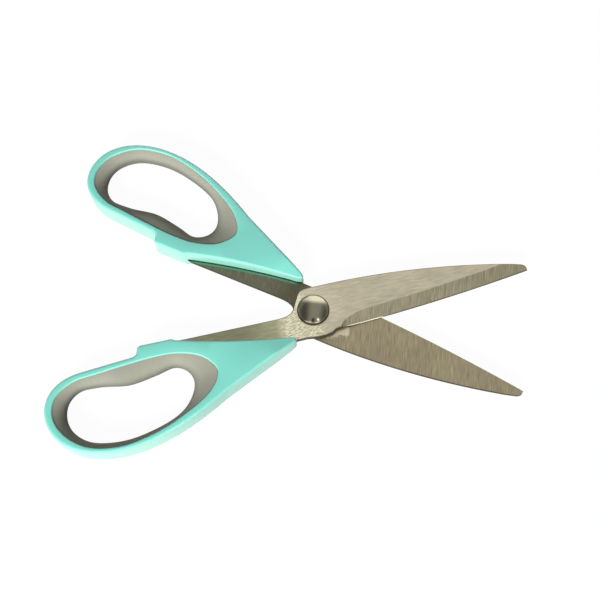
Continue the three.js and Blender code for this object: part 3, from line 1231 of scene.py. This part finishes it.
@dataclass
class Loop:
    """The finger loop of a half: where the grip meets the handle, and the finger hole."""

    stations: tuple[tuple[Spot, Spot], ...] = (
        ((-112.15, -22.3), (-107.4, -22.8)),
        ((-109.9, -14.9), (-105.8, -16.8)),
        ((-102.0, -10.0), (-101.0, -12.8)),
        ((-92.0, -8.7), (-92.6, -12.6)),
        ((-80.0, -7.5), (-80.4, -14.5)),
        ((-69.0, -6.7), (-69.3, -12.9)),
        ((-58.5, -7.2), (-60.6, -11.2)),
        ((-48.6, -11.0), (-55.7, -14.3)),
        ((-43.7, -18.0), (-54.1, -18.8)),
        ((-47.6, -25.2), (-55.8, -24.4)),
        ((-60.0, -33.0), (-61.8, -31.0)),
        ((-74.0, -38.3), (-74.8, -35.8)),
        ((-88.0, -40.3), (-87.4, -37.2)),
        ((-101.0, -37.4), (-99.6, -34.6)),
        ((-109.5, -29.9), (-105.8, -28.8)),
    )
    count: int = 300

    def border(self) -> Outline:
        """The line where the grip meets the handle."""
        return Outline(smooth_loop([border for border, _ in self.stations], self.count))

    def hole(self) -> np.ndarray:
        """The finger hole, point for point beside the border."""
        return smooth_loop([hole for _, hole in self.stations], self.count)


@dataclass
class Handle:
    """One moulded handle, from the closing stop to the far end of its loop."""

    side: Side
    blade: Blade
    loop: Loop
    half_thickness: float = 5.749
    edge_round: float = 1.25
    round_steps: int = 9
    wall_draft: float = 0.15
    parting_inset: float = 0.07
    stop_face: float = -0.15
    lip_round: float = 0.75
    lip_steps: int = 5
    slot_gap: float = 0.15
    fold_spot: Spot = (-46.0, -5.4)
    fold_slope: float = -0.4
    fold_softness: float = 1.2
    fold_bends: int = 7
    fold_reach: float = 1.1
    facet_fall: float = 0.22
    level_limit: float = 0.97
    step: float = 0.9
    bend_tolerance: float = 1e-6
    join_distance: float = 1e-5

    def past_fold(self, points: np.ndarray) -> np.ndarray:
        """How far points lie past the fold line, towards the nose."""
        normal = np.array([-self.fold_slope, 1]) / math.hypot(self.fold_slope, 1)
        return (points - np.array(self.fold_spot)) @ normal

    def height(self, points: np.ndarray) -> np.ndarray:
        """Height of the handle's face: level, then falling past the soft fold.

        Args:
            points: Rows of x and y.

        Returns:
            The height over each.
        """
        past = self.past_fold(points)
        soft = self.fold_softness
        bend = np.clip(past + soft, 0, 2 * soft) ** 2 / (4 * soft)
        return self.half_thickness - self.facet_fall * (bend + np.maximum(past - soft, 0))

    def outline(self) -> Outline:
        """The outline of the moulding at its parting line.

        Returns:
            The outline.
        """
        stop = self.stop_face
        pen = Pen(TANG_SIDE[0], self.step)
        pen.stroke(*TANG_SIDE[1:]).stroke((-8.6, -10.1), (-8.4, -12), (-12.4, -13.7))
        pen.stroke((-42, -27.6)).stroke((-53, -34), (-70, -42.6), (-87, -42.6))
        pen.stroke((-104, -42.6), (-115.7, -34), (-115.7, -21.5))
        pen.stroke((-115.7, -13), (-109, -7.2), (-99, -6.2))
        pen.stroke((-77.3, -4.45)).stroke((-75.1, -4.25), (-74.9, -2.4))
        pen.stroke((-74.7, stop), (-72.5, stop)).stroke((-59.8, stop)).stroke(TANG_SIDE[0])
        return pen.outline()

    @property
    def bends(self) -> np.ndarray:
        """Distances past the fold line at which the soft fold is bent."""
        return np.linspace(-self.fold_reach, self.fold_reach, self.fold_bends) * self.fold_softness

    def with_bend_points(self, outline: Outline, inset: float) -> Outline:
        """The outline with a point added wherever a bend leaves the face.

        Args:
            outline: The outline of the moulding.
            inset: How far inside it the rim of the face lies.

        Returns:
            The outline with the added points.
        """
        share = self.height(outline.points) / self.half_thickness
        past = self.past_fold(outline.offset(-inset, share))
        nearby = np.roll(outline.points, -1, axis=0)
        rows = []
        for point, ahead, start, end in zip(outline.points, nearby, past, np.roll(past, -1)):
            places = sorted((bend - start) / (end - start) for bend in self.bends)
            rows.append(point)
            rows += [point + (ahead - point) * place for place in places if 0 < place < 1]
        return Outline(np.array(rows))

    def bend_lines(self, rim: np.ndarray) -> list[tuple[int, int]]:
        """The stretches of the bends across a face.

        Args:
            rim: Outer points of the face.

        Returns:
            Point numbers of the two ends of each stretch.
        """
        past = self.past_fold(rim)
        stretches = []
        for bend in self.bends:
            hits = np.flatnonzero(np.abs(past - bend) < self.bend_tolerance)
            hits = hits[np.argsort(rim[hits, 0])]
            stretches += [(int(a), int(b)) for a, b in zip(hits[::2], hits[1::2])]
        return stretches

    def face(self, rim: np.ndarray, hole: np.ndarray) -> np.ndarray:
        """Triangles of a face between its rim and the loop.

        Args:
            rim: Outer points of the face.
            hole: Points of the loop's edge.

        Returns:
            Rows of corner numbers, the rim's points first and then the hole's.
        """
        count, inner = len(rim), len(hole)
        flat = np.concatenate([rim, hole])
        lines = [(i, (i + 1) % count) for i in range(count)]
        lines += [(count + i, count + (i + 1) % inner) for i in range(inner)]
        lines += self.bend_lines(rim)
        cut = delaunay_2d_cdt([Vector(spot) for spot in flat], lines, [], 0, self.join_distance)
        _, _, triangles, sources, _, _ = cut
        corners = np.array([[sources[n][0] for n in triangle] for triangle in triangles])
        centres = flat[corners].mean(axis=1)
        return corners[inside(centres, rim) & ~inside(centres, hole)]

    def wall_rings(self) -> list[tuple[float, float]]:
        """The rings of the outer wall, with its rounded edges and parting line.

        Returns:
            Share of the height and inset of each, from below to above.
        """
        upper = []
        for turn in np.linspace(0, QUARTER_TURN, self.round_steps):
            height = self.half_thickness - self.edge_round * (1 - math.sin(turn))
            inset = self.edge_round * (1 - math.cos(turn))
            upper.append((height / self.half_thickness, self.wall_draft + inset))
        lower = [(-height, inset) for height, inset in reversed(upper)]
        return [*lower, (0.0, self.parting_inset), *upper]

    def lip_rings(self) -> list[tuple[float, float]]:
        """The rings of the loop's inner wall, with its rounded lips.

        Returns:
            Height and outward shift of each, from above to below.
        """
        upper = []
        for turn in np.linspace(0, QUARTER_TURN, self.lip_steps):
            height = self.half_thickness - self.lip_round * (1 - math.cos(turn))
            upper.append((height, self.lip_round * (1 - math.sin(turn))))
        return upper + [(-height, shift) for height, shift in reversed(upper)]

    def body(self) -> bpy.types.Object:
        """The moulding with its loop, before the tang goes in.

        Returns:
            The moulding.
        """
        outline = self.with_bend_points(self.outline(), self.wall_draft + self.edge_round)
        share = self.height(outline.points) / self.half_thickness
        border = self.loop.border()
        shell = Shell()
        walls = [(height, outline.offset(-inset, share)) for height, inset in self.wall_rings()]
        lips = [(height, border.offset(shift)) for height, shift in self.lip_rings()]
        outer = [shell.add(raised(ring, height * self.height(ring))) for height, ring in walls]
        inner = [shell.add(raised(ring, height)) for height, ring in lips]
        shell.skin(outer)
        shell.skin(inner)
        triangles = self.face(walls[-1][1], lips[0][1])
        for numbers, order in (((outer[-1], inner[0]), 1), ((outer[0], inner[-1]), -1)):
            for corners in np.concatenate(numbers)[triangles]:
                shell.face(corners[::order])
        return shell.object(f"{self.side.value}_handle_moulding", self.side)

    def tang_slot(self) -> bpy.types.Object:
        """Room for the tang.

        Returns:
            The shape to cut away.
        """
        room = self.blade.outline().offset(self.slot_gap)
        heights = (self.blade.inner - self.slot_gap, self.blade.outer + self.slot_gap)
        return lofted([raised(room, height) for height in heights]).object("tang_slot", self.side)

    def build(self) -> bpy.types.Object:
        """Make and dress the handle.

        Returns:
            The finished piece.
        """
        made = self.body()
        carve(made, [self.tang_slot()])
        made.data.materials.append(MINT.material())
        turn = self.side.turn.to_matrix().inverted()
        level = [abs((turn @ face.normal).z) for face in made.data.polygons]
        shade(made, CREASE, [int(up > self.level_limit) for up in level])
        # How far each point turns away from level; the plastic's painted highlight reads it.
        away = made.data.attributes.new(AWAY, "FLOAT", "POINT")
        away.data.foreach_set("value", [1 - abs(point.normal.z) for point in made.data.vertices])
        return made


@dataclass
class Grip:
    """The soft liner of one finger loop, rounded towards the fingers."""

    side: Side
    loop: Loop
    half_height: float = 5.15
    seam: float = 0.06
    arc_steps: int = 30
    arc_start: float = 32.0
    crease: float = 60.0

    def build(self) -> bpy.types.Object:
        """Make and dress the grip.

        Returns:
            The finished piece.
        """
        back = self.loop.border().offset(-self.seam)
        hole = self.loop.hole()
        shell = Shell()
        rings = []
        start = math.radians(self.arc_start)
        for turn in np.linspace(start, math.pi - start, self.arc_steps + 1):
            line = back + (hole - back) * (math.sin(turn) - math.sin(start)) / (1 - math.sin(start))
            rings.append(shell.add(raised(line, self.half_height * math.cos(turn) / math.cos(start))))
        shell.skin([*rings, rings[0]])
        made = shell.object(f"{self.side.value}_grip_liner", self.side)
        made.data.materials.append(GREY_GRIP.material())
        shade(made, self.crease)
        return made


# Rivet


def turned_tree() -> bpy.types.NodeTree:
    """The geometry tree of a turned piece: a profile swept once round the axis.

    Returns:
        The tree, with inputs Profile, Segments and Metal.
    """
    tree = bpy.data.node_groups.new("turned_piece", "GeometryNodeTree")
    for name, kind in {"Profile": "Geometry", "Segments": "Int", "Metal": "Material"}.items():
        tree.interface.new_socket(name, in_out="INPUT", socket_type=f"NodeSocket{kind}")
    tree.interface.new_socket("Turned", in_out="OUTPUT", socket_type="NodeSocketGeometry")
    kinds = {
        "inputs": "NodeGroupInput",
        "profile": "GeometryNodeMeshToCurve",
        "axis": "GeometryNodeCurvePrimitiveCircle",
        "upright": "GeometryNodeSetCurveNormal",
        "sweep": "GeometryNodeCurveToMesh",
        "merge": "GeometryNodeMergeByDistance",
        "real": "GeometryNodeRealizeInstances",
        "metal": "GeometryNodeSetMaterial",
        "output": "NodeGroupOutput",
    }
    nodes = {name: tree.nodes.new(kind) for name, kind in kinds.items()}
    nodes["axis"].inputs["Radius"].default_value = AXIS_RADIUS
    nodes["merge"].inputs["Distance"].default_value = 2 * AXIS_RADIUS
    nodes["upright"].mode = "Z_UP"
    for source, output, target, socket in (
        ("inputs", "Profile", "profile", "Mesh"),
        ("inputs", "Segments", "axis", "Resolution"),
        ("axis", "Curve", "upright", "Curve"),
        ("upright", "Curve", "sweep", "Curve"),
        ("profile", "Curve", "sweep", "Profile Curve"),
        ("sweep", "Mesh", "merge", "Geometry"),
        ("merge", "Geometry", "real", "Geometry"),
        ("real", "Geometry", "metal", "Geometry"),
        ("inputs", "Metal", "metal", "Material"),
        ("metal", "Geometry", "output", "Turned"),
    ):
        tree.links.new(nodes[source].outputs[output], nodes[target].inputs[socket])
    return tree


@dataclass
class Rivet:
    """The two-part rivet: domed pin, washer, and barrel with its rear head."""

    blade: Blade
    head_radius: float = 6.3
    head_crown: float = 2.1
    rear_radius: float = 5.6
    rear_crown: float = 1.3
    rim: float = 0.5
    rim_ease: float = 0.3
    dome_steps: int = 26
    washer_radius: float = 6.75
    washer_thickness: float = 0.4
    washer_ease: float = 0.1
    barrel_radius: float = 3.0
    barrel_bore: float = 1.9
    barrel_floor: float = 0.15
    gap: float = 0.1
    segments: int = 128
    crease: float = 35.0
    tree: bpy.types.NodeTree = field(default_factory=turned_tree)

    def dome(self, radius: float, crown: float, seat: float, up: int) -> list[Spot]:
        """Profile of a domed head, from its seat to the axis.

        Args:
            radius: Outer radius.
            crown: Rise of the dome above the rim.
            seat: Height of the underside.
            up: 1 for a head that points up, -1 for down.

        Returns:
            Radius and height of each point.
        """
        ball = (radius**2 + crown**2) / (2 * crown)
        steep = math.asin(radius / ball)
        shift = self.rim_ease * math.tan((QUARTER_TURN - steep) / 2)
        top = seat + up * self.rim
        points = [(radius - self.rim_ease / 2, seat), (radius, seat + up * self.rim_ease / 2)]
        points.append((radius, top - up * shift))
        for turn in np.linspace(steep * (1 - shift / radius), 0, self.dome_steps):
            height = ball * math.cos(turn) - (ball - crown)
            points.append((ball * math.sin(turn), top + up * height))
        return points

    def turned(
        self, name: str, profile: list[Spot], finish: Finish, closed: bool = False
    ) -> bpy.types.Object:
        """Turn one piece of the rivet.

        Args:
            name: Name of the piece.
            profile: Radius and height of its profile, in millimetres.
            finish: Its finish.
            closed: Whether the profile closes on itself, clear of the axis.

        Returns:
            The piece, placed in the part.
        """
        mesh = bpy.data.meshes.new(name)
        rows = [(radius * MM - AXIS_RADIUS, -height * MM, 0) for radius, height in profile]
        area = sum(a[0] * b[1] - b[0] * a[1] for a, b in zip(rows, rows[1:] + rows[:1]))
        rows = rows if area > 0 else rows[::-1]
        count = len(rows)
        edges = [(i, (i + 1) % count) for i in range(count if closed else count - 1)]
        mesh.from_pydata(rows, edges, [])
        made = linked(name, mesh)
        sweep = made.modifiers.new("turning", "NODES")
        sweep.node_group = self.tree
        values = {"Segments": self.segments, "Metal": finish.material()}
        for item in self.tree.interface.items_tree:
            if item.in_out == "INPUT" and item.name in values:
                sweep[item.identifier] = values[item.name]
        settle(made)
        made.data.transform(Matrix.Translation(PIVOT))
        shade(made, self.crease)
        return made

    def build(self) -> dict[str, bpy.types.Object]:
        """Make and dress the three pieces.

        Returns:
            The finished pieces, by the names of their nodes.
        """
        low = self.blade.outer + self.gap
        high = low + self.washer_thickness
        seat = high + self.gap
        floor = -self.blade.outer + self.barrel_floor
        pin = self.barrel_bore - self.gap
        pin_profile = [(0, floor + self.gap), (pin, floor + self.gap), (pin, seat)]
        pin_profile += self.dome(self.head_radius, self.head_crown, seat, 1)
        rear_seat = -self.blade.outer - self.gap
        barrel = [(0, floor), (self.barrel_bore, floor), (self.barrel_bore, high)]
        barrel += [(self.barrel_radius, high), (self.barrel_radius, rear_seat)]
        barrel += self.dome(self.rear_radius, self.rear_crown, rear_seat, -1)
        wide, ease = self.washer_radius, self.washer_ease
        ring = [(self.blade.bore, low), (wide - ease, low), (wide, low + ease)]
        ring += [(wide, high - ease), (wide - ease, high), (self.blade.bore, high)]
        return {
            "pivot_pin": self.turned("rivet_pin", pin_profile, DOME_STEEL),
            "pivot_barrel": self.turned("rivet_barrel", barrel, DOME_STEEL),
            "pivot_washer": self.turned("rivet_washer", ring, SHADED_WASHER_STEEL, closed=True),
        }


# Studio


@dataclass(frozen=True)
class Lamp:
    """A square soft lamp aimed at the rivet, lost in reflections, where the room shows.

    Its place is in metres from the rivet, its size in metres and its power in watts.
    """

    name: str
    place: Size
    size: float
    power: float

    def hang(self) -> None:
        """Put the lamp in its place."""
        light = bpy.data.lights.new(self.name, "AREA")
        light.size = self.size
        light.energy = self.power
        made = linked(self.name, light)
        made.visible_glossy = False
        made.location = PIVOT + Vector(self.place)
        made.rotation_euler = Vector(self.place).to_track_quat("Z", "Y").to_euler()


LAMPS = (Lamp("key", (-0.55, -1.6, 1.0), 0.9, 54.0), Lamp("fill", (0.9, -1.5, 0.3), 0.5, 7.0))


@dataclass(frozen=True)
class Reflection:
    """What the steel mirrors: spans of the mirrored direction along x, y and z, and levels of light."""

    level: float = 0.75
    dim_left: Span = (-0.1, -0.65)
    dim_right: Span = (0.35, 0.85)
    dim_rise: Span = (0.36, 0.6)
    dim_loss: float = 0.55
    far_window: Span = (0.64, 0.90)
    far_level: float = 2.3
    far_dim: float = 0.6
    near_window: Span = (-0.70, -0.78)
    near_end: Span = (-0.90, -0.84)
    near_level: float = 4.0
    onlooker: Spot = (0.04, -0.66)
    onlooker_slimness: float = 2.0
    onlooker_edge: Span = (0.06, 0.02)
    onlooker_loss: float = 0.65
    glint: Spot = (0.42, -0.52)
    glint_edge: Span = (0.006, 0.003)
    glint_level: float = 6.0

    def light(self, x: Wire, y: Wire, z: Wire) -> Wire:
        """Level of the mirrored light in each direction.

        Args:
            x: The direction's part to the right.
            y: Its part away.
            z: Its part upwards.

        Returns:
            The level.
        """
        dim = (x.step(*self.dim_left) + x.step(*self.dim_right)) * (0.5 + z.step(*self.dim_rise) * 0.5)
        far = y.step(*self.far_window) * (1 - dim * self.far_dim)
        near = y.step(*self.near_window) * y.step(*self.near_end)
        right, away = (place - middle for place, middle in zip((x, y), self.onlooker))
        onlooker = (right * right * self.onlooker_slimness + away * away).step(*self.onlooker_edge)
        right, away = (place - middle for place, middle in zip((x, y), self.glint))
        glint = (right * right + away * away).step(*self.glint_edge)
        windows = far * self.far_level + near * self.near_level * (1 - onlooker)
        lost = dim * self.dim_loss + onlooker * self.onlooker_loss
        return self.level - lost + windows + glint * self.glint_level


@dataclass
class Studio:
    """Camera, floor and light."""

    tilt: float = 21.0
    turn: float = -5.082
    roll: float = -1.996
    distance: float = 466.88
    focal: float = 1117.1
    image: int = 600
    sensor: float = 36.0
    near_clip: float = 0.01
    middle: Spot = (313.387, 311.93)
    floor_reach: float = 3.0
    floor_matt: float = 0.55
    floor_matt_mirrored: float = 0.15
    floor_matt_seen: float = 0.06
    floor_white: float = 0.965
    floor_mirrored: Span = (0.7, 1.1)
    floor_brighter: Span = (-0.015, -0.055)
    sky: float = 0.17
    sky_change: float = 0.06
    sky_behind: Span = (0.0, 0.8)
    sky_right: Span = (-0.2, 0.8)

    def camera(self) -> None:
        """The camera at the photograph's angle, with the pivot at its place in the image."""
        turn, tilt, roll = (math.radians(a) for a in (self.turn, self.tilt, self.roll))
        axes = Matrix.Rotation(roll, 3, "Y") @ Matrix.Rotation(-tilt, 3, "X") @ Matrix.Rotation(turn, 3, "Z")
        right, down = ((m - self.image / 2) / self.focal * self.distance for m in self.middle)
        place = axes.transposed() @ Vector((-right, down, self.distance))
        lens = bpy.data.cameras.new("camera")
        lens.sensor_width = self.sensor
        lens.lens = self.focal / self.image * self.sensor
        lens.clip_start = self.near_clip
        made = linked("camera", lens)
        made.matrix_world = Matrix.Translation(PIVOT + place * MM) @ axes.transposed().to_4x4()
        bpy.context.scene.camera = made

    def floor(self) -> None:
        """A pale floor that shows as white and keeps a soft shadow."""
        mesh = bpy.data.meshes.new("floor")
        reach = self.floor_reach
        corners = [(-reach, -reach, 0), (reach, -reach, 0), (reach, reach, 0), (-reach, reach, 0)]
        mesh.from_pydata(corners, [], [(0, 1, 2, 3)])
        made = linked("floor", mesh)
        recipe = Recipe(bpy.data.materials.new("pale_floor"))
        seen, mirrored = self.looked_at(recipe)
        x, _, _ = recipe.parts(recipe.object_place())
        matt = self.floor_matt - mirrored * (self.floor_matt - self.floor_matt_mirrored)
        matt = matt - seen * (self.floor_matt - self.floor_matt_seen)
        bright = x.step(*self.floor_brighter).between(*self.floor_mirrored)
        colour = recipe.scaled((1.0, 1.0, 1.0), matt)
        paint = recipe.add("ShaderNodeBsdfDiffuse", None, {"Color": colour})
        strength = seen * self.floor_white + mirrored * bright
        glow = recipe.add("ShaderNodeEmission", None, {"Strength": strength})
        both = recipe.add("ShaderNodeAddShader", None, {0: paint.outputs[0], 1: glow.outputs[0]})
        recipe.add("ShaderNodeOutputMaterial", None, {"Surface": both.outputs[0]})
        mesh.materials.append(recipe.owner)

    @staticmethod
    def looked_at(recipe: Recipe) -> tuple[Wire, Wire]:
        """How the camera sees a thing.

        Args:
            recipe: The material or world in the making.

        Returns:
            Whether it is seen straight, and whether it is seen mirrored, as 0 or 1.
        """
        rays = recipe.add("ShaderNodeLightPath").outputs
        kinds = ("Is Camera Ray", "Is Glossy Ray", "Is Transmission Ray")
        seen, glossy, through = (Wire(recipe, rays[kind]) for kind in kinds)
        return seen, recipe.math("MINIMUM", glossy + through, 1.0)

    def room(self) -> None:
        """The room: white to the camera, with windows and dim sides in reflections."""
        world = bpy.data.worlds.new("room")
        bpy.context.scene.world = world
        recipe = Recipe(world)
        seen, mirrored = self.looked_at(recipe)
        x, y, z = recipe.parts(recipe.wire("ShaderNodeTexCoord", output="Generated"))
        shown = Reflection().light(x, y, z)
        lit = self.sky + (y.step(*self.sky_behind) - x.step(*self.sky_right)) * self.sky_change
        level = seen + (1 - seen) * (mirrored * shown + (1 - mirrored) * lit)
        sky = recipe.add("ShaderNodeBackground", None, {"Color": (1, 1, 1, 1), "Strength": level})
        recipe.add("ShaderNodeOutputWorld", None, {"Surface": sky.outputs[0]})

    def build(self) -> None:
        """Set up the whole studio."""
        self.camera()
        self.floor()
        self.room()
        for lamp in LAMPS:
            lamp.hang()
        bpy.context.scene.view_settings.view_transform = "Standard"


# Assembly


def fit(made: bpy.types.Object, body: str, node: str) -> None:
    """Put a finished piece in the place of its node.

    Args:
        made: The piece.
        body: The moving body that carries it.
        node: The node that it stands for.
    """
    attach(made, body)
    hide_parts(node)
    log.info("%s stands for %s on %s, %d faces", made.name, node, body, len(made.data.polygons))


def main() -> None:
    """Build the studio and every piece of the scissors."""
    logging.basicConfig(level=logging.INFO, format="%(name)s: %(message)s")
    Studio().build()
    loop = Loop()
    for side in Side:
        blade = Blade(side)
        fit(blade.build(), side.body, f"{side.value}_blade")
        fit(Handle(side, blade, loop).build(), side.body, f"{side.value}_handle")
        fit(Grip(side, loop).build(), side.body, f"{side.value}_grip")
    for node, made in Rivet(Blade(Side.REAR)).build().items():
        fit(made, Side.REAR.body, node)


if __name__ == "__main__":
    main()
